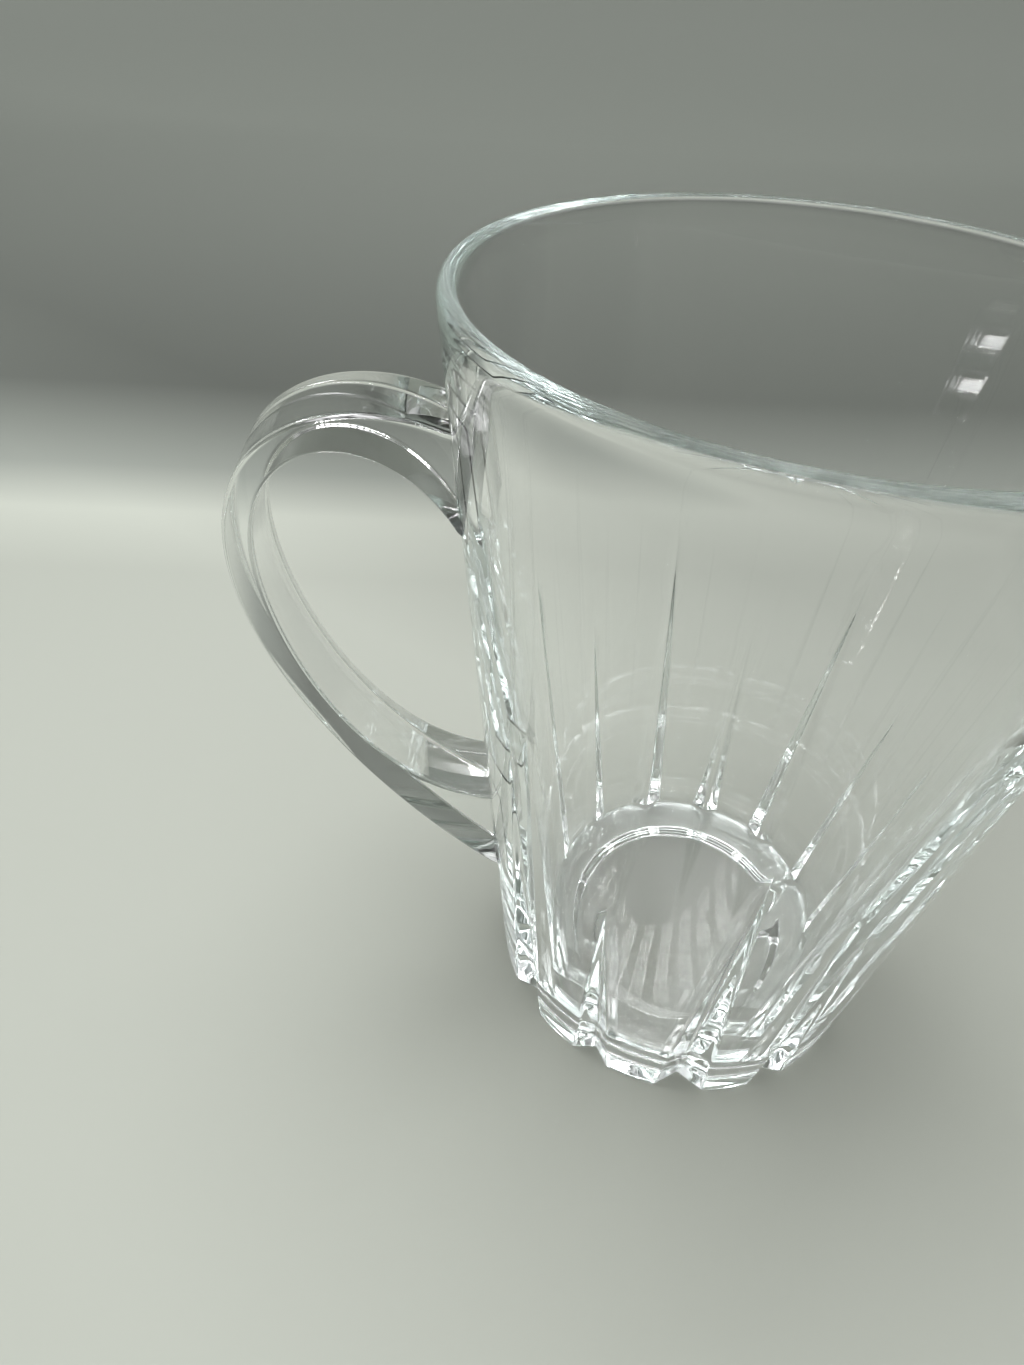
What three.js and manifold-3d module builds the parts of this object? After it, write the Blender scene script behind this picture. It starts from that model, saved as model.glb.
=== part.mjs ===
// A cut-crystal water pitcher: a thick-footed conical vessel with V-shaped mitre cuts
// rising from its foot and a pulled pouring lip, and a flat strap handle on its wall.
// Millimetres, +Z up. The origin is on the resting face, on the vessel's axis. The
// handle points to -X and the lip to +X.

import * as THREE from 'three';
import { mergeVertices } from 'three/addons/utils/BufferGeometryUtils.js';
import Module from 'manifold-3d';

const wasm = await Module();
wasm.setup();

// Vessel
const rimHeight = 167.2;
const rimOuterRadius = 65.8;
const footOuterRadius = 44.9;
const rimWall = 3.5;
const floorWall = 9;
const floorThickness = 7.5;
const floorFilletRadius = 4;
const footChamfer = 1.2;
const rimRounding = 1.5;

// Pouring lip, pulled out of the rim opposite the handle
const lipReach = 14;
const lipRise = 4;
const lipHalfAngle = THREE.MathUtils.degToRad(31);
const lipThroat = 52;

// Mitre cuts: tall and short ones take turns round the foot, and the place under the
// handle stays plain
const cutPlaces = 13;
const cutAngle = THREE.MathUtils.degToRad(112);
const tallCutHeight = 90;
const tallCutDepth = 4.2;
const shortCutHeight = 66;
const shortCutDepth = 3.4;
const cutOverrun = 6;

// Handle: a strap in the plane of the axis, seen from the side as two outlines that leave
// the wall at the two joints and meet the strap's thickness at the bulge
const handleWidth = 18.5;
const handleReach = 102.3;
const handleThickness = 5.4;
const bulgeBelowRim = 45.2;
const upperJointBelowRim = 23.6;
const upperJointHeight = 31;
const lowerJointAboveFoot = 34.2;
const lowerJointHeight = 25.7;
const outerTopAngle = THREE.MathUtils.degToRad(28);
const outerTopArm = 22.7;
const outerUpperSideArm = 24.8;
const outerLowerSideArm = 31;
const outerTailAngle = THREE.MathUtils.degToRad(35.6);
const outerTailArm = 27;
const innerTailArm = 28.6;
const innerLowerSideArm = 21;
const innerUpperSideArm = 27.5;
const innerTopAngle = THREE.MathUtils.degToRad(75);
const innerTopArm = 37;

// Joint between handle and wall
const jointGap = 0.3;
const jointRoot = 4;

// Fineness of the round forms
const turnSteps = 78;
const throatRings = 6;
const curveSteps = 6;
const handleCurveSteps = 14;

const throatBottom = rimHeight - lipThroat;
const lipStart = Math.PI / 2;

/** The wall's outer radius at a height above the resting face. */
function outerRadius(height) {
  return THREE.MathUtils.lerp(footOuterRadius, rimOuterRadius, height / rimHeight);
}

/** The wall's inner radius: the glass thins steadily from the floor to the rim. */
function innerRadius(height) {
  const share = (height - floorThickness) / (rimHeight - floorThickness);
  return outerRadius(height) - THREE.MathUtils.lerp(floorWall, rimWall, share);
}

/** A profile turned about +Z, with its first column on +X, where the lip is. */
function turned(points) {
  return new THREE.LatheGeometry(points, turnSteps, lipStart).rotateX(Math.PI / 2);
}

/** The solid of a closed geometry, with its shared vertices merged. */
function solidOf(geometry) {
  const bare = geometry.clone();
  bare.deleteAttribute('normal');
  bare.deleteAttribute('uv');
  const merged = mergeVertices(bare);
  const corners = merged.index.array;
  const kept = [];
  for (let at = 0; at < corners.length; at += 3) {
    const [a, b, c] = corners.slice(at, at + 3);
    if (a !== b && b !== c && c !== a) {
      kept.push(a, b, c);
    }
  }
  const mesh = new wasm.Mesh({
    numProp: 3,
    vertProperties: new Float32Array(merged.attributes.position.array),
    triVerts: new Uint32Array(kept),
  });
  return new wasm.Manifold(mesh);
}

/** The geometry of a solid. */
function geometryOf(solid) {
  const mesh = solid.getMesh();
  const geometry = new THREE.BufferGeometry();
  geometry.setAttribute('position', new THREE.BufferAttribute(mesh.vertProperties, 3));
  geometry.setIndex(new THREE.BufferAttribute(mesh.triVerts, 1));
  geometry.computeVertexNormals();
  return geometry;
}

/** The vessel's profile, from the middle of its underside round the wall to the floor. */
function vesselProfile() {
  const path = new THREE.Path();
  path.moveTo(0, 0);
  path.lineTo(footOuterRadius - footChamfer, 0);
  path.lineTo(outerRadius(footChamfer), footChamfer);
  const rimStart = rimHeight - rimRounding;
  for (let ring = 0; ring <= throatRings; ring += 1) {
    const height = THREE.MathUtils.lerp(throatBottom, rimStart, ring / throatRings);
    path.lineTo(outerRadius(height), height);
  }
  const outerEdge = outerRadius(rimHeight);
  const innerEdge = innerRadius(rimHeight);
  path.quadraticCurveTo(outerEdge, rimHeight, outerEdge - rimRounding, rimHeight);
  path.lineTo(innerEdge + rimRounding, rimHeight);
  path.quadraticCurveTo(innerEdge, rimHeight, innerRadius(rimStart), rimStart);
  for (let ring = throatRings - 1; ring >= 0; ring -= 1) {
    const height = THREE.MathUtils.lerp(throatBottom, rimStart, ring / throatRings);
    path.lineTo(innerRadius(height), height);
  }
  const filletTop = floorThickness + floorFilletRadius;
  const corner = innerRadius(floorThickness);
  path.lineTo(innerRadius(filletTop), filletTop);
  path.quadraticCurveTo(corner, floorThickness, corner - floorFilletRadius, floorThickness);
  path.lineTo(0, floorThickness);
  return path.getPoints(curveSteps);
}

/** Draws the rim outwards and a little up round +X, fading down the throat and to the sides. */
function pullLip(geometry) {
  const position = geometry.attributes.position;
  const point = new THREE.Vector3();
  for (let at = 0; at < position.count; at += 1) {
    point.fromBufferAttribute(position, at);
    const aside = Math.min(Math.abs(Math.atan2(point.y, point.x)) / lipHalfAngle, 1);
    const across = (1 + Math.cos(Math.PI * aside)) / 2;
    const climb = Math.max((point.z - throatBottom) / lipThroat, 0);
    const pull = across * climb * climb;
    const radius = Math.hypot(point.x, point.y);
    const stretch = radius > 0 ? (radius + lipReach * pull) / radius : 1;
    position.setXYZ(at, point.x * stretch, point.y * stretch, point.z + lipRise * pull);
  }
  return geometry;
}

/** A V-shaped bar whose edge sinks to the depth at the foot and leaves the wall at the height. */
function mitreCut(angle, depth, height) {
  const low = new THREE.Vector3(footOuterRadius - depth, 0, 0);
  const high = new THREE.Vector3(outerRadius(height), 0, height);
  const along = high.clone().sub(low).normalize();
  const sideways = new THREE.Vector3(0, 1, 0);
  const outwards = sideways.clone().cross(along);
  const mouth = depth + cutOverrun;
  const halfMouth = mouth * Math.tan(cutAngle / 2);
  const section = new THREE.Shape();
  section.moveTo(0, 0);
  section.lineTo(mouth, -halfMouth);
  section.lineTo(mouth, halfMouth);
  section.closePath();
  const length = low.distanceTo(high) + 2 * cutOverrun;
  const bar = new THREE.ExtrudeGeometry(section, { depth: length, bevelEnabled: false });
  bar.translate(0, 0, -cutOverrun);
  bar.applyMatrix4(new THREE.Matrix4().makeBasis(outwards, sideways, along).setPosition(low));
  bar.rotateZ(angle);
  return bar;
}

/** The vessel: turned wall and foot with its lip pulled out and its mitre cuts taken away. */
function vesselGeometry() {
  let glass = solidOf(pullLip(turned(vesselProfile())));
  for (let place = 1; place < cutPlaces; place += 1) {
    const angle = Math.PI + (2 * Math.PI * place) / cutPlaces;
    const fromHandle = Math.min(place, cutPlaces - place);
    const tall = fromHandle % 2 === 1;
    const depth = tall ? tallCutDepth : shortCutDepth;
    const height = tall ? tallCutHeight : shortCutHeight;
    glass = glass.subtract(solidOf(mitreCut(angle, depth, height)));
  }
  return geometryOf(glass);
}

/** The handle's side outline: distance from the axis across, height upwards. */
function handleOutline() {
  const bulge = rimHeight - bulgeBelowRim;
  const upperTop = rimHeight - upperJointBelowRim;
  const upperBottom = upperTop - upperJointHeight;
  const lowerBottom = lowerJointAboveFoot;
  const lowerTop = lowerBottom + lowerJointHeight;
  const root = (height) => outerRadius(height) - jointRoot;
  const inner = handleReach - handleThickness;
  const outline = new THREE.Shape();
  outline.moveTo(root(upperTop), upperTop);
  outline.bezierCurveTo(
    root(upperTop) + outerTopArm * Math.cos(outerTopAngle),
    upperTop + outerTopArm * Math.sin(outerTopAngle),
    handleReach,
    bulge + outerUpperSideArm,
    handleReach,
    bulge,
  );
  outline.bezierCurveTo(
    handleReach,
    bulge - outerLowerSideArm,
    root(lowerBottom) + outerTailArm * Math.cos(outerTailAngle),
    lowerBottom + outerTailArm * Math.sin(outerTailAngle),
    root(lowerBottom),
    lowerBottom,
  );
  outline.lineTo(root(lowerTop), lowerTop);
  outline.bezierCurveTo(
    root(lowerTop) + innerTailArm,
    lowerTop,
    inner,
    bulge - innerLowerSideArm,
    inner,
    bulge,
  );
  outline.bezierCurveTo(
    inner,
    bulge + innerUpperSideArm,
    root(upperBottom) + innerTopArm * Math.cos(innerTopAngle),
    upperBottom + innerTopArm * Math.sin(innerTopAngle),
    root(upperBottom),
    upperBottom,
  );
  outline.closePath();
  return outline;
}

/** The handle: the outline as wide as the strap, its two ends shaped to the wall. */
function handleGeometry() {
  const strap = new THREE.ExtrudeGeometry(handleOutline(), {
    depth: handleWidth,
    bevelEnabled: false,
    curveSegments: handleCurveSteps,
  });
  strap.translate(0, 0, -handleWidth / 2);
  const outwards = new THREE.Vector3(-1, 0, 0);
  const up = new THREE.Vector3(0, 0, 1);
  const across = new THREE.Vector3(0, 1, 0);
  strap.applyMatrix4(new THREE.Matrix4().makeBasis(outwards, up, across));
  const wall = turned([
    new THREE.Vector2(0, 0),
    new THREE.Vector2(outerRadius(0) + jointGap, 0),
    new THREE.Vector2(outerRadius(rimHeight) + jointGap, rimHeight),
    new THREE.Vector2(0, rimHeight),
  ]);
  return geometryOf(solidOf(strap).subtract(solidOf(wall)));
}

/** Clear lead glass, faintly green where it is thick. */
function crystal() {
  return new THREE.MeshStandardMaterial({
    color: 0xdce8e2,
    roughness: 0.03,
    metalness: 0,
    transparent: true,
    opacity: 0.35,
  });
}

const vessel = new THREE.Mesh(vesselGeometry(), crystal());
vessel.name = 'vessel';

const handle = new THREE.Mesh(handleGeometry(), crystal());
handle.name = 'handle';

const pitcher = new THREE.Group();
pitcher.add(vessel, handle);

export default pitcher;
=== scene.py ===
"""Looks of a cut-crystal water pitcher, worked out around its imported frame, in metres."""

import logging
import math
from collections.abc import Mapping
from dataclasses import dataclass
from enum import Enum

import bpy
import numpy as np
from mathutils import Matrix, Vector
from numpy.typing import NDArray


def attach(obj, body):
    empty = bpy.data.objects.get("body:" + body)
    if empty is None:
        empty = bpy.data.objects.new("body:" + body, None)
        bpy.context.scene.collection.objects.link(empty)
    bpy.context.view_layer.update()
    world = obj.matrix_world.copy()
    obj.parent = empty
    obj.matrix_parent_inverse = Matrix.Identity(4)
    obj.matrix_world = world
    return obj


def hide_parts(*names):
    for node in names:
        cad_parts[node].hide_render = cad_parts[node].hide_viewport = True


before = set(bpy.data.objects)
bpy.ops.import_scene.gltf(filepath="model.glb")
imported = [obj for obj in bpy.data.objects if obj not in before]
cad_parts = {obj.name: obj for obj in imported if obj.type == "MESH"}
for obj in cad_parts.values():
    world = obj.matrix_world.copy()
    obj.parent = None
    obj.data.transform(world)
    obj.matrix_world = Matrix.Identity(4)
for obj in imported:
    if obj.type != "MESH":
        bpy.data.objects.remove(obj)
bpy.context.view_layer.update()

Array = NDArray[np.float64]
Colour = tuple[float, float, float, float]
Point = tuple[float, float, float]

BODY = "root"
GLASS_BOUNCES = 32
GLINT_CLAMP = 60.0
SHARP_ANGLE = math.radians(50.0)
# The Mix node's colour sockets share their names with its other sockets, so they go by number.
COLOUR_A, COLOUR_B, COLOUR_RESULT = 6, 7, 2
logger = logging.getLogger("pitcher")


class Slot(Enum):
    """The record's material slots."""

    VESSEL = "vessel_crystal"
    HANDLE = "handle_crystal"


class Value:
    """A shader value whose arithmetic adds Math nodes to its tree."""

    def __init__(self, tree: "ShaderTree", socket: bpy.types.NodeSocket) -> None:
        """Keeps the output socket and the tree that it belongs to."""
        self.tree = tree
        self.socket = socket

    def _math(self, operation: str, left: "Value | float", right: "Value | float") -> "Value":
        """One Math node.

        Args:
            operation: The Math node's operation.
            left: First operand.
            right: Second operand.

        Returns:
            The node's result.
        """
        settings = {"operation": operation}
        return self.tree.node("ShaderNodeMath", settings, {0: left, 1: right}, "Value")

    def __add__(self, other: "Value | float") -> "Value":
        """self + other."""
        return self._math("ADD", self, other)

    def __radd__(self, other: float) -> "Value":
        """other + self."""
        return self._math("ADD", other, self)

    def __sub__(self, other: "Value | float") -> "Value":
        """self - other."""
        return self._math("SUBTRACT", self, other)

    def __rsub__(self, other: float) -> "Value":
        """other - self."""
        return self._math("SUBTRACT", other, self)

    def __mul__(self, other: "Value | float") -> "Value":
        """self * other."""
        return self._math("MULTIPLY", self, other)

    def __rmul__(self, other: float) -> "Value":
        """other * self."""
        return self._math("MULTIPLY", other, self)


class ShaderTree:
    """A node tree that is filled by one node-making method."""

    def __init__(self, tree: bpy.types.NodeTree) -> None:
        """Takes over an empty node tree."""
        self.tree = tree
        self.tree.nodes.clear()

    def node(
        self,
        kind: str,
        settings: Mapping[str, object] | None = None,
        inputs: Mapping[str | int, object] | None = None,
        output: str | int = 0,
    ) -> Value:
        """Adds a node.

        Args:
            kind: The node's type.
            settings: Its properties, set first. "stops" fills a colour ramp with (place, colour).
            inputs: A value, or a Value to link, for each input socket by name or number.
            output: The output socket that is handed back.

        Returns:
            The output socket, wrapped.
        """
        made = self.tree.nodes.new(kind)
        for name, setting in (settings or {}).items():
            if name == "stops":
                self._fill_ramp(made.color_ramp, setting)
            else:
                setattr(made, name, setting)
        for name, value in (inputs or {}).items():
            if isinstance(value, Value):
                self.tree.links.new(value.socket, made.inputs[name])
            else:
                made.inputs[name].default_value = value
        return Value(self, made.outputs[output] if made.outputs else None)

    def noise(self, place: Value, scale: float, detail: float) -> Value:
        """A noise texture's value at a place."""
        inputs = {"Vector": place, "Scale": scale, "Detail": detail}
        return self.node("ShaderNodeTexNoise", {}, inputs, "Fac")

    def share(self, value: Value, start: float, end: float) -> Value:
        """How far a value is on its way from start to end, held between 0 and 1."""
        inputs = {"Value": value, "From Min": start, "From Max": end}
        return self.node("ShaderNodeMapRange", {}, inputs, "Result")

    def product(self, colour: Value, level: Value) -> Value:
        """A colour times a level.

        Args:
            colour: The colour.
            level: What each of its channels is multiplied by.

        Returns:
            The product.
        """
        settings = {"data_type": "RGBA", "blend_type": "MULTIPLY"}
        inputs = {"Factor": 1.0, COLOUR_A: colour, COLOUR_B: level}
        return self.node("ShaderNodeMix", settings, inputs, COLOUR_RESULT)

    @staticmethod
    def _fill_ramp(ramp: bpy.types.ColorRamp, stops: list[tuple[float, Colour]]) -> None:
        """Gives a colour ramp its stops.

        Args:
            ramp: The ramp of a new node, which has two stops.
            stops: Place and colour of each stop, in rising order.
        """
        for _ in stops[2:]:
            ramp.elements.new(1.0)
        for element, (place, colour) in zip(ramp.elements, stops):
            element.position = place
            element.color = colour


def grey(level: float) -> Colour:
    """An opaque grey."""
    return (level, level, level, 1.0)


def new_material(name: str) -> tuple[bpy.types.Material, ShaderTree]:
    """A new material and its empty tree.

    Args:
        name: The material's name.

    Returns:
        The material and the tree.
    """
    material = bpy.data.materials.new(name)
    material.use_nodes = True
    return material, ShaderTree(material.node_tree)


def smooth(share: Array) -> Array:
    """3s^2 - 2s^3 of a share held between 0 and 1."""
    held = np.clip(share, 0.0, 1.0)
    return held * held * (3.0 - 2.0 * held)


def soft_min(first: Array, second: Array, reach: float) -> Array:
    """The smaller of two radii, with the corner where they cross rounded over the reach.

    min(a, b) - reach / 4 * h^2 with h = 1 - |a - b| / reach, held at 0.

    Args:
        first: One radius.
        second: The other radius.
        reach: How far apart the two may be and still be rounded.

    Returns:
        The rounded smaller radius.
    """
    near = np.clip(1.0 - np.abs(first - second) / reach, 0.0, None)
    return np.minimum(first, second) - reach / 4.0 * near * near


def bezier(points: list[tuple[float, float]], shares: Array) -> Array:
    """Points of a cubic Bezier curve in a plane through the axis.

    (1-t)^3 A + 3 (1-t)^2 t B + 3 (1-t) t^2 C + t^3 D.

    Args:
        points: The four control points, distance from the axis and height.
        shares: Parameter of each point, 0 to 1.

    Returns:
        One row for each share.
    """
    first, second, third, fourth = (np.array(point) for point in points)
    t = shares[:, None]
    return (
        (1 - t) ** 3 * first
        + 3 * (1 - t) ** 2 * t * second
        + 3 * (1 - t) * t**2 * third
        + t**3 * fourth
    )


def turned(radius: Array, azimuth: Array, height: Array) -> Array:
    """Rings about the axis: x = r cos(a), y = r sin(a), z = h.

    Args:
        radius: Radii as (rings, columns), or one for each ring as (rings, 1).
        azimuth: Azimuths as (rings, columns), or one for each column.
        height: One height for each ring.

    Returns:
        Points as (rings, columns, 3).
    """
    across, along = radius * np.cos(azimuth), radius * np.sin(azimuth)
    return np.stack([across, along, np.broadcast_to(height[:, None], across.shape)], axis=-1)


def linked_piece(name: str, points: Array, faces: list[list[int]]) -> bpy.types.Object:
    """A smooth object with its own mesh, at the origin of the scene.

    Args:
        name: The name of the object and of its mesh.
        points: Points as (count, 3).
        faces: The corners of each face.

    Returns:
        The new object.
    """
    mesh = bpy.data.meshes.new(name)
    mesh.from_pydata(points.tolist(), [], faces)
    mesh.polygons.foreach_set("use_smooth", np.ones(len(faces), bool))
    piece = bpy.data.objects.new(name, mesh)
    bpy.context.scene.collection.objects.link(piece)
    return piece


def closed_mesh(name: str, rings: Array, poles: Array) -> bpy.types.Object:
    """A closed skin of rings, each joined to the next, with a fan to a pole at both ends.

    Args:
        name: The object's name.
        rings: Points as (rings, points of a ring, 3). A ring closes on itself.
        poles: The first and the last pole.

    Returns:
        The new object, smooth except along sharp edges.
    """
    count, around = rings.shape[:2]
    points = np.concatenate([rings.reshape(-1, 3), poles])
    index = np.arange(count * around).reshape(count, around)
    ahead = np.roll(index, -1, axis=1)
    quads = np.stack([index[:-1], ahead[:-1], ahead[1:], index[1:]], axis=-1).reshape(-1, 4)
    start = np.full(around, count * around)
    first_fan = np.stack([ahead[0], index[0], start], axis=-1)
    last_fan = np.stack([index[-1], ahead[-1], start + 1], axis=-1)
    faces = quads.tolist() + first_fan.tolist() + last_fan.tolist()
    piece = linked_piece(name, points, faces)
    piece.data.set_sharp_from_angle(angle=SHARP_ANGLE)
    return piece


def steady_slope(before: Array, here: Array, after: Array) -> Array:
    """Direction of a curve at a point between two uneven steps.

    (a^2 (Q - P) + b^2 (P - O)) / (a b (a + b)) for the steps a from O to P and b from P to Q.

    Args:
        before: The points before.
        here: The points themselves.
        after: The points after.

    Returns:
        Directions, not of unit length.
    """
    first = np.linalg.norm(here - before, axis=-1, keepdims=True)
    second = np.linalg.norm(after - here, axis=-1, keepdims=True)
    bent = first**2 * (after - here) + second**2 * (here - before)
    return bent / (first * second * (first + second))


def ring_normals(rings: Array, poles: Array) -> Array:
    """Outward normals of a closed skin of rings: across the ring times along the skin.

    Args:
        rings: Points as (rings, points of a ring, 3).
        poles: The first and the last pole, each on a flat end.

    Returns:
        One unit normal for each point, then for each pole.
    """
    around = steady_slope(np.roll(rings, 1, axis=1), rings, np.roll(rings, -1, axis=1))
    ends = np.broadcast_to(poles[:, None, None], (len(poles), 1, *rings.shape[1:]))
    skin = np.concatenate([ends[0], rings, ends[1]])
    along = steady_slope(skin[:-2], skin[1:-1], skin[2:])
    normals = np.cross(around, along)
    normals /= np.linalg.norm(normals, axis=-1, keepdims=True)
    return np.concatenate([normals.reshape(-1, 3), normals[[0, -1], 0]])


@dataclass(frozen=True)
class CrystalFinish:
    """Clear lead glass: fire-polished ripple, faint wiping marks and a cool cast in depth."""

    clear: Colour = (1.0, 1.0, 1.0, 1.0)
    wiped: Colour = (0.985, 0.995, 0.99, 1.0)
    ior: float = 1.53
    polish: float = 0.0
    wiped_roughness: float = 0.02
    wiping_scale: float = 30.0
    wiping_detail: float = 4.0
    marks_start: float = 0.55
    marks_end: float = 0.8
    ripple_scale: float = 40.0
    ripple_detail: float = 1.0
    ripple_height: float = 0.00001
    depth_colour: Colour = (0.62, 0.9, 0.86, 1.0)
    depth_density: float = 1.6

    def material(self, name: str) -> bpy.types.Material:
        """Builds the glass.

        Args:
            name: The material's name.

        Returns:
            The material.
        """
        material, tree = new_material(name)
        place = tree.node("ShaderNodeTexCoord", output="Object")
        wiping = tree.noise(place, self.wiping_scale, self.wiping_detail)
        marks = tree.share(wiping, self.marks_start, self.marks_end)
        ripple = tree.noise(place, self.ripple_scale, self.ripple_detail)
        normal = tree.node(
            "ShaderNodeBump",
            {},
            {"Height": ripple, "Strength": 1.0, "Distance": self.ripple_height},
            "Normal",
        )
        colour = tree.node(
            "ShaderNodeMix",
            {"data_type": "RGBA"},
            {"Factor": marks, COLOUR_A: self.clear, COLOUR_B: self.wiped},
            COLOUR_RESULT,
        )
        surface = tree.node(
            "ShaderNodeBsdfPrincipled",
            {},
            {
                "Base Color": colour,
                "Roughness": self.polish + marks * self.wiped_roughness,
                "IOR": self.ior,
                "Transmission Weight": 1.0,
                "Normal": normal,
            },
            "BSDF",
        )
        volume = tree.node(
            "ShaderNodeVolumeAbsorption",
            {},
            {"Color": self.depth_colour, "Density": self.depth_density},
            "Volume",
        )
        tree.node("ShaderNodeOutputMaterial", {}, {"Surface": surface, "Volume": volume})
        return material


@dataclass(frozen=True)
class TableFinish:
    """Satin grey, pale round the pitcher and dark behind it under painted shade, with a painted
    band of light and a painted shadow to its right.
    """

    near_tone: Point = (0.955, 1.0, 0.895)
    far_tone: Point = (0.935, 1.0, 0.91)
    # The bright grey is a painted band of light; the dusk and far greys are painted shade behind
    # the pitcher.
    near_grey: float = 0.62
    bright_grey: float = 0.76
    dusk_grey: float = 0.46
    far_grey: float = 0.225
    sweep_grey: float = 0.65
    near_reach: float = 0.165
    bright_reach: float = 0.21
    dusk_reach: float = 0.25
    far_reach: float = 0.34
    sweep_reach: float = 1.0
    # The painted shadow of the pitcher: where it falls along a slant, and how dark it gets.
    shade_across: float = 0.6
    shade_along: float = 0.8
    shade_start: float = 0.05
    shade_end: float = 0.165
    shade_share: float = 0.7
    roughness: float = 0.35
    gloss: float = 0.4

    @staticmethod
    def _toned(level: float, tone: Point) -> Colour:
        """A grey with one of the table's tones."""
        red, green, blue = tone
        return (level * red, level * green, level * blue, 1.0)

    def material(self, name: str) -> bpy.types.Material:
        """Builds the satin: a colour ramp along Y with a painted band of light and painted shade,
        times 1 - a painted shadow on a slant.

        Args:
            name: The material's name.

        Returns:
            The material.
        """
        material, tree = new_material(name)
        place = tree.node("ShaderNodeTexCoord", output="Object")
        across = tree.node("ShaderNodeSeparateXYZ", {}, {"Vector": place}, "X")
        along = tree.node("ShaderNodeSeparateXYZ", {}, {"Vector": place}, "Y")
        # Pale table near the pitcher, then a painted band of light and painted shade that darkens
        # it to dark grey behind, rising again to the sweep's grey.
        stops = [
            (self.near_reach, self._toned(self.near_grey, self.near_tone)),
            (self.bright_reach, self._toned(self.bright_grey, self.near_tone)),
            (self.dusk_reach, self._toned(self.dusk_grey, self.far_tone)),
            (self.far_reach, self._toned(self.far_grey, self.far_tone)),
            (self.sweep_reach, self._toned(self.sweep_grey, self.far_tone)),
        ]
        ground = tree.node("ShaderNodeValToRGB", {"stops": stops}, {"Fac": along}, "Color")
        # Painted shadow of the pitcher: the table darkens behind it and to its right.
        slant = across * self.shade_across + along * self.shade_along
        painted_shadow = tree.share(slant, self.shade_start, self.shade_end) * (1.0 - self.shade_share)
        surface = tree.node(
            "ShaderNodeBsdfPrincipled",
            {},
            {
                "Base Color": tree.product(ground, 1.0 - painted_shadow),
                "Roughness": self.roughness,
                "Specular IOR Level": self.gloss,
            },
            "BSDF",
        )
        tree.node("ShaderNodeOutputMaterial", {}, {"Surface": surface})
        return material


@dataclass(frozen=True)
class StripGlow:
    """White glow that shows through the glass and doesn't light the table."""

    strength: float = 30.0

    def material(self, name: str) -> bpy.types.Material:
        """Builds the glow, clear to every ray that a matt surface has scattered.

        Args:
            name: The material's name.

        Returns:
            The material.
        """
        material, tree = new_material(name)
        material.cycles.emission_sampling = "NONE"
        scattered = tree.node("ShaderNodeLightPath", output="Diffuse Depth")
        glow = tree.node("ShaderNodeEmission", {}, {"Strength": self.strength}, "Emission")
        unseen = tree.node("ShaderNodeBsdfTransparent", output="BSDF")
        inputs = {"Fac": scattered, 1: glow, 2: unseen}
        surface = tree.node("ShaderNodeMixShader", {}, inputs, "Shader")
        tree.node("ShaderNodeOutputMaterial", {}, {"Surface": surface})
        return material


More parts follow.
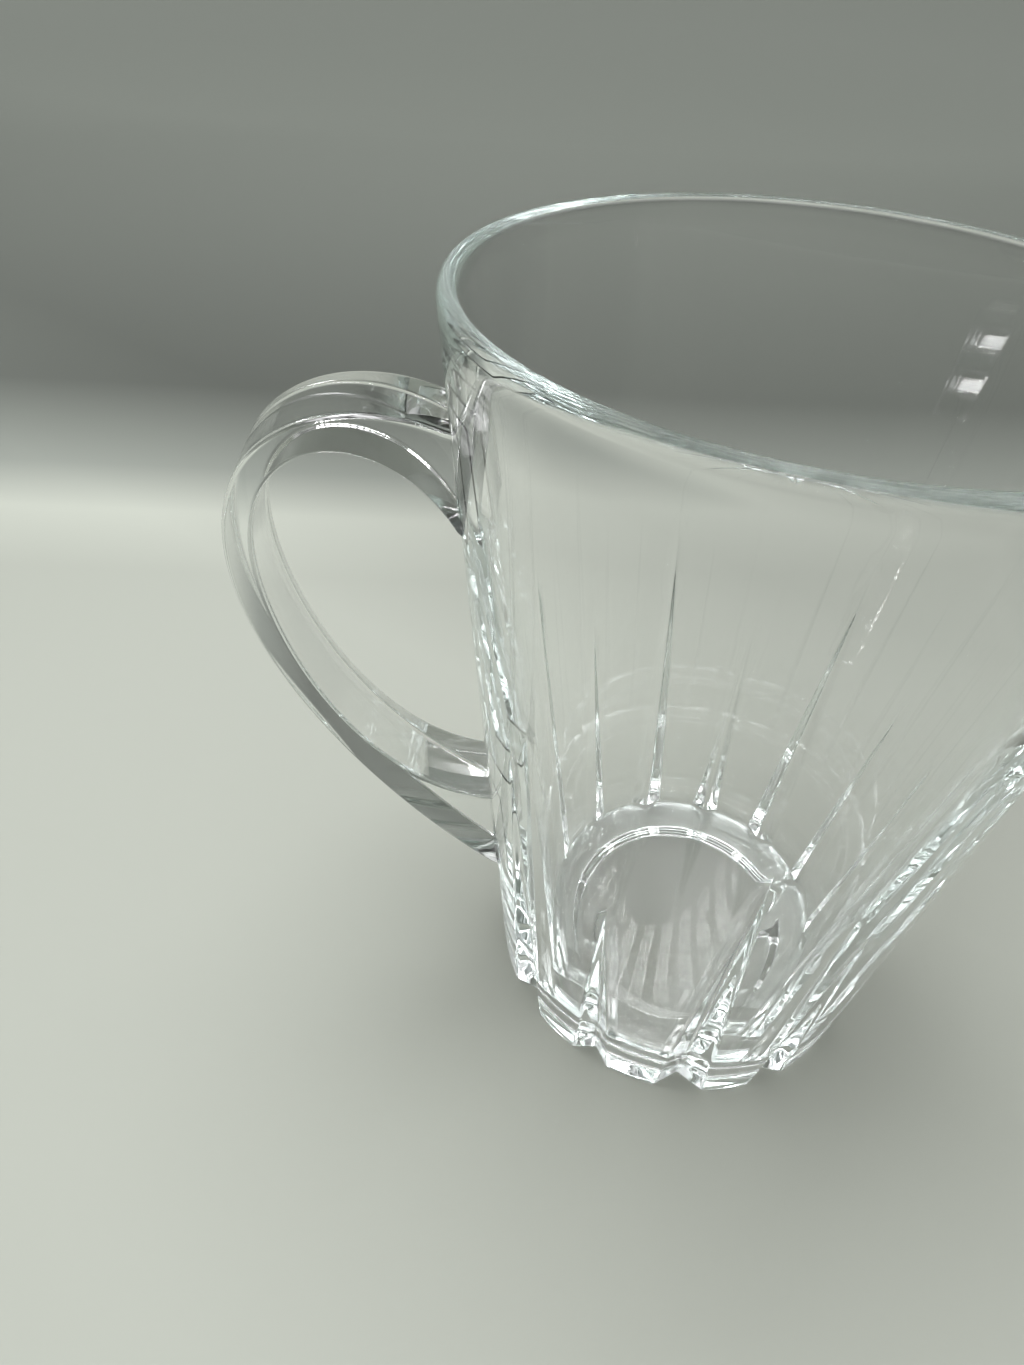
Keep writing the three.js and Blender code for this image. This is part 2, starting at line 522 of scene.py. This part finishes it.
@dataclass
class Vessel:
    """The pitcher's body: foot, tapering wall with mitre cuts, rim, lip and thick floor."""

    rim_height: float = 0.1672
    rim_radius: float = 0.0658
    foot_radius: float = 0.0449
    rim_wall: float = 0.0035
    floor_wall: float = 0.009
    floor_thickness: float = 0.0075
    floor_fillet: float = 0.004
    foot_rounding: float = 0.0012
    recess_radius: float = 0.0325
    recess_depth: float = 0.003
    recess_slope: float = 0.007
    rim_rounding: float = 0.0015
    rim_fall: float = 0.0031
    rim_crown: float = 0.0008
    lip_reach: float = 0.0134
    lip_rise: float = 0.003
    lip_half_angle: float = math.radians(31.0)
    lip_throat: float = 0.052
    cut_places: int = 13
    cut_angle: float = math.radians(112.0)
    tall_cut_height: float = 0.09
    tall_cut_depth: float = 0.0042
    short_cut_height: float = 0.066
    short_cut_depth: float = 0.0034
    edge_rounding: float = 0.0004
    valley_rounding: float = 0.00015
    least_edge_angle: float = 0.004
    least_flank_slope: float = 0.2
    far_radius: float = 1.0
    face_columns: int = 6
    edge_columns: int = 5
    land_columns: int = 9
    wall_rows: int = 64
    inner_rows: int = 36
    curve_rows: int = 8
    rim_rows: int = 12
    floor_rows: int = 10

    def outer(self, height: Array) -> Array:
        """The uncut wall's outer radius at a height: straight from foot to rim."""
        return self.foot_radius + (self.rim_radius - self.foot_radius) * height / self.rim_height

    def inner(self, height: Array) -> Array:
        """The inner radius at a height: the wall thins steadily from floor to rim."""
        share = (height - self.floor_thickness) / (self.rim_height - self.floor_thickness)
        return self.outer(height) - (self.floor_wall + (self.rim_wall - self.floor_wall) * share)

    def _cuts(self) -> tuple[Array, Array, Array]:
        """The mitre cuts, one at each place from the handle round.

        Tall and short ones take turns. The place under the handle has a cut of no depth.

        Returns:
            Azimuth, depth at the foot and height of each.
        """
        place = np.arange(self.cut_places)
        from_handle = np.minimum(place, self.cut_places - place)
        tall = from_handle % 2 == 1
        depth = np.where(tall, self.tall_cut_depth, self.short_cut_depth) * (place > 0)
        height = np.where(tall, self.tall_cut_height, self.short_cut_height)
        return math.pi + 2 * math.pi * place / self.cut_places, depth, height

    def _slopes(self, depth: Array, height: Array) -> tuple[Array, Array, Array]:
        """The edge line of each cut, from its depth at the foot to the wall at its height.

        Args:
            depth: Depth at the foot.
            height: Height where the cut runs out.

        Returns:
            The line's radius at the foot and its direction, outwards and up.
        """
        low = self.foot_radius - depth
        rise = np.hypot(self.outer(height) - low, height)
        return low, (self.outer(height) - low) / rise, height / rise

    def _cut_radius(self, aside: Array, height: Array, cut: tuple[Array, Array, Array]) -> Array:
        """Radius of a cut's two flanks, planes that meet in its edge line.

        r = (low * up + z * out) / (up * cos(a) - cot(half angle) * |sin(a)|), with |sin(a)|
        rounded in the valley.

        Args:
            aside: Azimuth from the cut's middle.
            height: Height above the resting face.
            cut: The edge line's radius at the foot and its direction.

        Returns:
            The radius, far out where the flank doesn't reach.
        """
        low, out, up = cut
        valley = self.valley_rounding / self.foot_radius
        across = np.sqrt(np.sin(aside) ** 2 + valley**2)
        slope = up * np.cos(aside) - across / math.tan(self.cut_angle / 2)
        far = slope < self.least_flank_slope
        radius = (low * up + height * out) / np.where(far, 1.0, slope)
        return np.where(far, self.far_radius, radius)

    def _edge_angle(self, height: Array, cut: tuple[Array, Array, Array]) -> Array:
        """Azimuth from a cut's middle at which its flank meets the wall: acos(q / R) - d.

        Args:
            height: Height above the resting face.
            cut: The edge line's radius at the foot and its direction.

        Returns:
            The angle, 0 above the cut.
        """
        low, out, up = cut
        flank = 1.0 / math.tan(self.cut_angle / 2)
        level = np.minimum((low * up + height * out) / self.outer(height), up)
        return np.arccos(level / np.hypot(up, flank)) - np.arctan2(flank, up)

    def _columns(self, heights: Array) -> Array:
        """Azimuth of every column at every height.

        Each sector runs from one cut's middle to the next. Its columns follow the cuts' edges
        as they narrow upwards, and spread evenly again towards the rim.

        Args:
            heights: One height for each row.

        Returns:
            Azimuths as (rows, columns).
        """
        angle, depth, top = self._cuts()
        sector = 2 * math.pi / self.cut_places
        rows = heights[:, None]
        edge = self._edge_angle(rows, self._slopes(depth, top))
        least, even = self.least_edge_angle, sector / 4
        top = np.where(depth > 0, top, -self.rim_height)
        spread = smooth((rows - top) / (self.rim_height - top))
        edge = np.maximum(edge, least + (even - least) * spread)
        width = np.minimum(self.edge_rounding * 2.0 / self.foot_radius, edge / 2)
        following, following_width = np.roll(edge, -1, axis=1), np.roll(width, -1, axis=1)
        zero = np.zeros_like(edge)
        knots = np.stack(
            [
                zero,
                edge - width,
                edge + width,
                sector - following - following_width,
                sector - following + following_width,
                zero + sector,
            ],
            axis=-1,
        )
        counts = [self.face_columns, self.edge_columns, self.land_columns]
        counts = [*counts, self.edge_columns, self.face_columns]
        span = np.repeat(np.arange(len(counts)), counts)
        share = np.concatenate([np.arange(count) / count for count in counts])
        asides = knots[..., span] + share * (knots[..., span + 1] - knots[..., span])
        return (angle[:, None] + asides).reshape(len(heights), -1)

    def _cut_wall(self, azimuth: Array, heights: Array) -> Array:
        """Radius of the cut wall: the uncut cone or the flank of the nearest cuts, rounded.

        Args:
            azimuth: Columns' azimuths as (rows, columns).
            heights: One height for each row.

        Returns:
            Radii as (rows, columns).
        """
        angle, depth, top = self._cuts()
        rows = heights[:, None]
        sector = 2 * math.pi / self.cut_places
        turn = (azimuth - angle[0]) / sector
        radius = np.broadcast_to(self.outer(rows), azimuth.shape)
        for nearest in (np.floor(turn), np.floor(turn) + 1):
            place = nearest.astype(int) % self.cut_places
            low, out, up = self._slopes(depth[place], top[place])
            flank = self._cut_radius((turn - nearest) * sector, rows, (low, out, up))
            flank = np.where(depth[place] > 0, flank, self.far_radius)
            radius = soft_min(radius, flank, self.edge_rounding)
        return radius

    def _pull_lip(self, points: Array) -> Array:
        """Draws the rim outwards and up round +X: half a cosine across, squared up the throat.

        Args:
            points: Points of the plain turned body.

        Returns:
            The points with the lip.
        """
        aside = np.abs(np.arctan2(points[..., 1], points[..., 0])) / self.lip_half_angle
        across = (1 + np.cos(math.pi * np.minimum(aside, 1.0))) / 2
        bottom = self.rim_height - self.lip_throat
        climb = np.clip((points[..., 2] - bottom) / self.lip_throat, 0.0, None)
        pull = across * climb**2
        radius = np.hypot(points[..., 0], points[..., 1])
        stretch = 1 + self.lip_reach * pull / np.maximum(radius, self.rim_wall)
        return np.stack(
            [
                points[..., 0] * stretch,
                points[..., 1] * stretch,
                points[..., 2] + self.lip_rise * pull,
            ],
            axis=-1,
        )

    def _recess_profile(self) -> tuple[Array, Array]:
        """The recess under the foot: a flat, and a Bezier curve that slopes down and runs out.

        Returns:
            Radii and heights of the rings, from near the middle to the flat resting ring.
        """
        start, depth = self.recess_radius - self.recess_slope, self.recess_depth
        halfway = self.recess_radius - self.recess_slope / 2
        corners = [(start, depth), (halfway, depth), (halfway, 0.0), (self.recess_radius, 0.0)]
        slope = bezier(corners, np.linspace(0.0, 1.0, 2 * self.curve_rows))
        flat = np.linspace(0.0, start, self.floor_rows)[1:-1]
        radii = np.concatenate([flat, slope[:, 0]])
        return radii, np.concatenate([np.full(len(flat), depth), slope[:, 1]])

    def _foot_rings(self) -> tuple[Array, Array, Array]:
        """The underside and the rounded edge of the foot, along the outline of the cut wall.

        Returns:
            Azimuths, radii and heights of the rings.
        """
        turn = np.linspace(0.0, math.pi / 2, self.curve_rows)
        heights = self.foot_rounding * (1 - np.cos(turn))
        inset = self.foot_rounding * (1 - np.sin(turn))
        azimuth = self._columns(heights)
        edge = self._cut_wall(azimuth, heights) - inset[:, None]
        recess_radius, recess_height = self._recess_profile()
        recess = np.broadcast_to(recess_radius[:, None], (len(recess_radius), azimuth.shape[1]))
        shares = np.linspace(0.0, 1.0, self.floor_rows)[1:-1, None]
        resting = recess[-1] + shares * (edge[0] - recess[-1])
        flat = np.broadcast_to(azimuth[0], (len(recess) + len(resting), azimuth.shape[1]))
        return (
            np.concatenate([flat, azimuth]),
            np.concatenate([recess, resting, edge]),
            np.concatenate([recess_height, np.zeros(len(resting)), heights]),
        )

    def _inner_profile(self) -> tuple[Array, Array]:
        """Rim, inner wall, fillet and floor: two quarter ellipses, lines and a quadratic fillet.

        The rim is r = outer(z) - a (1 - cos t) and z = top - b (1 - sin t), and likewise inside.

        Returns:
            Radii and heights of the rings, from the outer edge of the rim to the floor.
        """
        share = np.linspace(0.0, 1.0, self.curve_rows)
        turn = np.linspace(0.0, math.pi / 2, self.rim_rows)
        top = self.rim_height + self.rim_crown
        outside = top - self.rim_fall * (1 - np.sin(turn[1:]))
        inside = top - self.rim_rounding * (1 - np.sin(turn[-2::-1]))
        crest = self.rim_wall - self.rim_rounding
        corner = self.inner(self.floor_thickness)
        fillet_top = self.floor_thickness + self.floor_fillet

        def rounding(first: float, middle: float, last: float) -> Array:
            """A quadratic curve: (1-t)^2 A + 2 (1-t) t B + t^2 C."""
            return (1 - share) ** 2 * first + 2 * (1 - share) * share * middle + share**2 * last

        down = np.linspace(inside[-1], fillet_top, self.inner_rows)[1:-1]
        floor = np.linspace(corner - self.floor_fillet, 0.0, self.floor_rows)[1:-1]
        radii = [
            self.outer(outside) - crest * (1 - np.cos(turn[1:])),
            self.inner(inside) + self.rim_rounding * (1 - np.cos(turn[-2::-1])),
            self.inner(down),
            rounding(self.inner(fillet_top), corner, corner - self.floor_fillet),
            floor,
        ]
        heights = [
            outside,
            inside,
            down,
            rounding(fillet_top, self.floor_thickness, self.floor_thickness),
            np.full(len(floor), self.floor_thickness),
        ]
        return np.concatenate(radii), np.concatenate(heights)

    def rings(self) -> Array:
        """All rings of the body, from the middle of the underside to the middle of the floor.

        Returns:
            Points as (rings, columns, 3).
        """
        foot_azimuth, foot_radius, foot_height = self._foot_rings()
        top = self.rim_height + self.rim_crown - self.rim_fall
        heights = np.linspace(self.foot_rounding, top, self.wall_rows)[1:]
        azimuth = self._columns(heights)
        wall = self._cut_wall(azimuth, heights)
        inner_radius, inner_height = self._inner_profile()
        even = self._columns(np.array([self.rim_height]))
        inner_shape = (len(inner_radius), azimuth.shape[1])
        turn = np.concatenate([foot_azimuth, azimuth, np.broadcast_to(even, inner_shape)])
        radius = np.concatenate(
            [foot_radius, wall, np.broadcast_to(inner_radius[:, None], inner_shape)]
        )
        height = np.concatenate([foot_height, heights, inner_height])
        return self._pull_lip(turned(radius, turn, height))

    def build(self, finish: CrystalFinish) -> bpy.types.Object:
        """Makes the body and dresses it.

        Args:
            finish: The glass.

        Returns:
            The piece.
        """
        poles = np.array([[0.0, 0.0, self.recess_depth], [0.0, 0.0, self.floor_thickness]])
        rings = self.rings()
        piece = closed_mesh("vessel_glass", rings, poles)
        piece.data.normals_split_custom_set_from_vertices(ring_normals(rings, poles).tolist())
        piece.data.materials.append(finish.material("vessel_crystal_glass"))
        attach(piece, BODY)
        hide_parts("vessel")
        return piece


@dataclass
class Handle:
    """The strap handle: two outlines in the plane of the axis, carried across its width."""

    vessel: Vessel
    width: float = 0.0185
    reach: float = 0.1023
    thickness: float = 0.0054
    bulge_below_rim: float = 0.0452
    upper_joint_below_rim: float = 0.0236
    upper_joint_height: float = 0.031
    lower_joint_above_foot: float = 0.0342
    lower_joint_height: float = 0.0257
    outer_top_angle: float = math.radians(28.0)
    outer_top_arm: float = 0.0227
    outer_upper_side_arm: float = 0.0248
    outer_lower_side_arm: float = 0.031
    outer_tail_angle: float = math.radians(35.6)
    outer_tail_arm: float = 0.027
    inner_tail_arm: float = 0.0286
    inner_lower_side_arm: float = 0.021
    inner_upper_side_arm: float = 0.0275
    inner_top_angle: float = math.radians(75.0)
    inner_top_arm: float = 0.037
    joint_root: float = 0.004
    sunk: float = 0.0006
    edge_rounding: float = 0.0009
    fine_steps: int = 400
    path_rows: int = 90
    flat_columns: int = 10
    corner_columns: int = 6
    end_rings: int = 6

    def _outlines(self) -> tuple[Array, Array]:
        """The outer and the inner outline, from the upper joint to the lower one.

        Returns:
            Points of both, distance from the axis and height.
        """
        rim = self.vessel.rim_height
        bulge = rim - self.bulge_below_rim
        upper_top = rim - self.upper_joint_below_rim
        upper_bottom = upper_top - self.upper_joint_height
        lower_bottom = self.lower_joint_above_foot
        lower_top = lower_bottom + self.lower_joint_height
        inner = self.reach - self.thickness
        shares = np.linspace(0.0, 1.0, self.fine_steps)

        def root(height: float) -> float:
            """Distance from the axis of the outline's end, inside the wall."""
            return self.vessel.outer(height) - self.joint_root

        def arm(height: float, length: float, angle: float) -> tuple[float, float]:
            """A control point at the end of an arm that leaves the root at an angle."""
            return root(height) + length * math.cos(angle), height + length * math.sin(angle)

        outer_upper = [
            (root(upper_top), upper_top),
            arm(upper_top, self.outer_top_arm, self.outer_top_angle),
            (self.reach, bulge + self.outer_upper_side_arm),
            (self.reach, bulge),
        ]
        outer_lower = [
            (self.reach, bulge),
            (self.reach, bulge - self.outer_lower_side_arm),
            arm(lower_bottom, self.outer_tail_arm, self.outer_tail_angle),
            (root(lower_bottom), lower_bottom),
        ]
        inner_upper = [
            (root(upper_bottom), upper_bottom),
            arm(upper_bottom, self.inner_top_arm, self.inner_top_angle),
            (inner, bulge + self.inner_upper_side_arm),
            (inner, bulge),
        ]
        inner_lower = [
            (inner, bulge),
            (inner, bulge - self.inner_lower_side_arm),
            arm(lower_top, self.inner_tail_arm, 0.0),
            (root(lower_top), lower_top),
        ]
        return (
            np.concatenate([bezier(outer_upper, shares), bezier(outer_lower, shares)[1:]]),
            np.concatenate([bezier(inner_upper, shares), bezier(inner_lower, shares)[1:]]),
        )

    def _outside_wall(self, outline: Array) -> Array:
        """The stretch of an outline outside the wall, in even steps above and below the bulge.

        Args:
            outline: Points of the outline.

        Returns:
            The stretch, starting and ending a little inside the wall.
        """
        clear = outline[:, 0] - self.vessel.outer(outline[:, 1]) + self.sunk
        step = np.arange(len(outline), dtype=float)
        bulge = self.fine_steps - 1
        first = np.interp(0.0, clear[: bulge // 2], step[: bulge // 2])
        tail = slice(len(outline) - bulge // 2, None)
        last = np.interp(0.0, clear[tail][::-1], step[tail][::-1])
        half = self.path_rows // 2
        below = np.linspace(bulge, last, half)[1:]
        steps = np.concatenate([np.linspace(first, bulge, half), below])
        return np.stack([np.interp(steps, step, outline[:, axis]) for axis in (0, 1)], axis=-1)

    def _section(self) -> tuple[Array, Array, Array, Array]:
        """A rounded rectangle, walked round once, as n = N (T/2 - r) + P r and y likewise.

        N is the place of the corner's centre or along a flat, and P points out of the rounding.
        The second half of the walk mirrors the first through the middle.

        Returns:
            N and P across the strap's thickness, then N and P across its width.
        """
        flat = np.sin(np.linspace(-math.pi / 2, math.pi / 2, self.flat_columns))
        turn = np.linspace(0.0, math.pi / 2, self.corner_columns)[1:-1]
        one, none, full = np.ones(len(flat)), np.zeros(len(flat)), np.ones(len(turn))
        halves = (
            [one, full, -flat, -full],
            [one, np.cos(turn), none, -np.sin(turn)],
            [flat, full, one, full],
            [none, np.sin(turn), one, np.cos(turn)],
        )
        joined = (np.concatenate(half) for half in halves)
        return tuple(np.concatenate([half, -half]) for half in joined)

    def _on_wall(self, points: Array) -> Array:
        """Moves points along X to lie just inside the wall: x = -sqrt(r^2 - y^2).

        Args:
            points: Points near the wall, which are changed.

        Returns:
            The same points.
        """
        wall = self.vessel.outer(points[..., 2]) - self.sunk
        points[..., 0] = -np.sqrt(wall**2 - points[..., 1] ** 2)
        return points

    def _end(self, section: Array) -> Array:
        """Rings that shrink from an end section to its middle, along the wall.

        Args:
            section: Points of the end section.

        Returns:
            Points as (rings, points of a ring, 3), the last ring a point.
        """
        share = np.linspace(1.0, 0.0, self.end_rings)[1:, None, None]
        middle = section.mean(axis=0)
        return self._on_wall(middle + share * (section - middle))

    def rings(self) -> Array:
        """The strap's sections: rounded rectangles between the two outlines.

        A section is mid + n * across + y * sideways. The first and the last follow the wall.

        Returns:
            Points as (sections, points of a section, 3), with the ends closed in.
        """
        outer, inner = (self._outside_wall(outline) for outline in self._outlines())
        mid = (outer + inner) / 2
        half_thickness = np.linalg.norm(outer - inner, axis=1, keepdims=True) / 2
        across = (outer - inner) / (2 * half_thickness)
        flat_n, bow_n, flat_y, bow_y = self._section()
        rounding = self.edge_rounding
        n = flat_n * (half_thickness - rounding) + bow_n * rounding
        y = np.broadcast_to(flat_y * (self.width / 2 - rounding) + bow_y * rounding, n.shape)
        distance = mid[:, :1] + n * across[:, :1]
        height = mid[:, 1:] + n * across[:, 1:]
        strap = np.stack([-distance, y, height], axis=-1)
        strap[[0, -1]] = self._on_wall(strap[[0, -1]])
        return np.concatenate([self._end(strap[0])[::-1], strap, self._end(strap[-1])])

    def build(self, finish: CrystalFinish) -> bpy.types.Object:
        """Makes the handle and dresses it.

        Args:
            finish: The glass.

        Returns:
            The piece.
        """
        rings = self.rings()
        piece = closed_mesh("handle_glass", rings[1:-1], rings[[0, -1], 0])
        piece.data.materials.append(finish.material("handle_crystal_glass"))
        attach(piece, BODY)
        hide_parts("handle")
        return piece


@dataclass(frozen=True)
class RoomLight:
    """Soft light from above that dims towards the horizon, with brighter and dimmer sides."""

    levels: tuple[tuple[float, float], ...] = ((0.0, 0.15), (0.25, 0.3), (0.6, 0.75), (1.0, 1.0))
    side_stretch: Point = (1.0, 1.0, 0.15)
    side_scale: float = 5.0
    side_detail: float = 2.0
    side_start: float = 0.4
    side_end: float = 0.62
    dim_share: float = 0.1
    bright_share: float = 1.2

    def build(self) -> None:
        """Hands the scene its world: a grey ramp upwards times a noise round the horizon."""
        world = bpy.data.worlds.new("studio_world")
        world.use_nodes = True
        bpy.context.scene.world = world
        tree = ShaderTree(world.node_tree)
        place = tree.node("ShaderNodeTexCoord", output="Generated")
        up = tree.node("ShaderNodeSeparateXYZ", {}, {"Vector": place}, "Z")
        stops = [(height, grey(level)) for height, level in self.levels]
        sky = tree.node("ShaderNodeValToRGB", {"stops": stops}, {"Fac": up}, "Color")
        settings = {"operation": "MULTIPLY"}
        inputs = {0: place, 1: self.side_stretch}
        upright = tree.node("ShaderNodeVectorMath", settings, inputs, "Vector")
        sides = tree.noise(upright, self.side_scale, self.side_detail)
        side_share = tree.share(sides, self.side_start, self.side_end)
        brightness = self.dim_share + side_share * (self.bright_share - self.dim_share)
        inputs = {"Color": tree.product(sky, brightness), "Strength": 1.0}
        light = tree.node("ShaderNodeBackground", {}, inputs, "Background")
        tree.node("ShaderNodeOutputWorld", {}, {"Surface": light})


@dataclass(frozen=True)
class SoftBox:
    """A rectangular lamp above the table."""

    place: Point = (-0.15, 0.12, 0.95)
    target: Point = (0.0, 0.0, 0.08)
    size: tuple[float, float] = (0.8, 0.6)
    power: float = 6.0

    def build(self) -> None:
        """Hangs the lamp at its place, facing its target, out of sight of reflections."""
        light = bpy.data.lights.new("overhead", "AREA")
        light.shape = "RECTANGLE"
        light.size, light.size_y = self.size
        light.energy = self.power
        lamp = bpy.data.objects.new("overhead", light)
        lamp.visible_glossy = False
        lamp.location = self.place
        facing = Vector(self.target) - Vector(self.place)
        lamp.rotation_euler = facing.to_track_quat("-Z", "Y").to_euler()
        bpy.context.scene.collection.objects.link(lamp)


@dataclass
class Studio:
    """Pale table that runs up into a grey sweep on all sides, lit softly from above."""

    table_level: float = -0.0003
    sweep_start: float = 1.0
    sweep_radius: float = 0.4
    sweep_height: float = 0.5
    around: int = 96
    rows: int = 24
    strip_height: float = 0.5
    strip_length: float = 0.52
    strip_groups: int = 13
    group_lights: int = 3
    light_spacing: float = 0.0095
    light_size: tuple[float, float] = (0.006, 0.1)
    strip_place: float = -0.1

    def build(self) -> list[bpy.types.Object]:
        """Makes the table with its sweep, the light strips, the lamp and the world.

        Returns:
            The stage pieces.
        """
        finish = TableFinish(sweep_reach=self.sweep_start)
        table = self._table()
        table.data.materials.append(finish.material("table_satin"))
        strips = self._strips()
        strips.data.materials.append(StripGlow().material("strip_glow"))
        RoomLight().build()
        SoftBox().build()
        return [table, strips]

    def _strips(self) -> bpy.types.Object:
        """A row of narrow lights that face down, in groups: a rectangle at each place.

        Returns:
            The strips.
        """
        group = np.linspace(-0.5, 0.5, self.strip_groups)[:, None] * self.strip_length
        single = np.arange(self.group_lights) * self.light_spacing
        along = (group + single - single.mean()).reshape(-1, 1)
        corner = np.array([[-0.5, -0.5], [-0.5, 0.5], [0.5, 0.5], [0.5, -0.5]]) * self.light_size
        across = np.broadcast_to(corner[:, 1] + self.strip_place, (len(along), len(corner)))
        level = np.full_like(across, self.strip_height)
        points = np.stack([along + corner[:, 0], across, level], axis=-1).reshape(-1, 3)
        faces = np.arange(len(points)).reshape(-1, len(corner)).tolist()
        strips = linked_piece("light_strips", points, faces)
        strips.visible_shadow = False
        strips.visible_glossy = False
        return strips

    def _table(self) -> bpy.types.Object:
        """Flat disc, quarter circle and wall, turned round the vertical.

        Returns:
            The table.
        """
        flat = np.linspace(0.0, self.sweep_start, self.rows)[1:]
        turn = np.linspace(0.0, math.pi / 2, self.rows)[1:]
        curve = self.sweep_start + self.sweep_radius * np.sin(turn)
        rise = self.sweep_radius * (1 - np.cos(turn))
        radius = np.concatenate([flat, curve, curve[-1:]])
        height = np.concatenate([0 * flat, rise, rise[-1:] + self.sweep_height]) + self.table_level
        azimuth = np.linspace(0.0, 2 * math.pi, self.around, endpoint=False)
        rings = turned(radius[:, None], azimuth, height)
        index = np.arange(len(radius) * self.around).reshape(len(radius), self.around)
        ahead = np.roll(index, -1, axis=1)
        quads = np.stack([index[:-1], index[1:], ahead[1:], ahead[:-1]], axis=-1).reshape(-1, 4)
        middle = np.full(self.around, index.size)
        fan = np.stack([index[0], ahead[0], middle], axis=-1)
        points = np.concatenate([rings.reshape(-1, 3), [[0.0, 0.0, self.table_level]]])
        return linked_piece("table_sweep", points, quads.tolist() + fan.tolist())


@dataclass(frozen=True)
class PhotoCamera:
    """The photograph's camera, as fitted to the rim, the foot and the height of the pitcher."""

    place: Point = (-0.06056, -0.1573, 0.21643)
    yaw: float = math.radians(4.4)
    pitch: float = math.radians(39.66)
    roll: float = 0.0814
    focal_pixels: float = 970.57
    long_side_pixels: float = 1365.0
    sensor: float = 36.0
    near_clip: float = 0.01

    def build(self) -> bpy.types.Object:
        """Makes the camera and hands it to the scene.

        Returns:
            The camera.
        """
        level = math.cos(self.pitch)
        aside, ahead = math.sin(self.yaw) * level, math.cos(self.yaw) * level
        forward = Vector((aside, ahead, -math.sin(self.pitch)))
        right = Vector((math.cos(self.yaw), -math.sin(self.yaw), 0.0))
        up = right.cross(forward)
        turned_right = right * math.cos(self.roll) + up * math.sin(self.roll)
        turned_up = turned_right.cross(forward)
        data = bpy.data.cameras.new("photo_camera")
        data.sensor_width = self.sensor
        data.lens = self.focal_pixels / self.long_side_pixels * self.sensor
        data.clip_start = self.near_clip
        camera = bpy.data.objects.new("photo_camera", data)
        axes = Matrix((turned_right, turned_up, -forward)).transposed()
        camera.matrix_world = Matrix.Translation(self.place) @ axes.to_4x4()
        bpy.context.scene.collection.objects.link(camera)
        bpy.context.scene.camera = camera
        return camera


def main() -> None:
    """Builds the pitcher's two pieces, its studio and its camera, in that order."""
    logging.basicConfig(level=logging.INFO, format="%(name)s: %(message)s")
    scene = bpy.context.scene
    scene.view_settings.view_transform = "Standard"
    scene.cycles.max_bounces = GLASS_BOUNCES
    scene.cycles.transmission_bounces = GLASS_BOUNCES
    scene.cycles.glossy_bounces = GLASS_BOUNCES
    scene.cycles.sample_clamp_indirect = GLINT_CLAMP
    vessel = Vessel()
    for piece in (vessel.build(CrystalFinish()), Handle(vessel).build(CrystalFinish())):
        logger.info("%s: %d faces", piece.name, len(piece.data.polygons))
    for piece in Studio().build():
        logger.info("%s: stage", piece.name)
    camera = PhotoCamera().build()
    logger.info("%s: lens %.2f mm", camera.name, camera.data.lens)


if __name__ == "__main__":
    main()
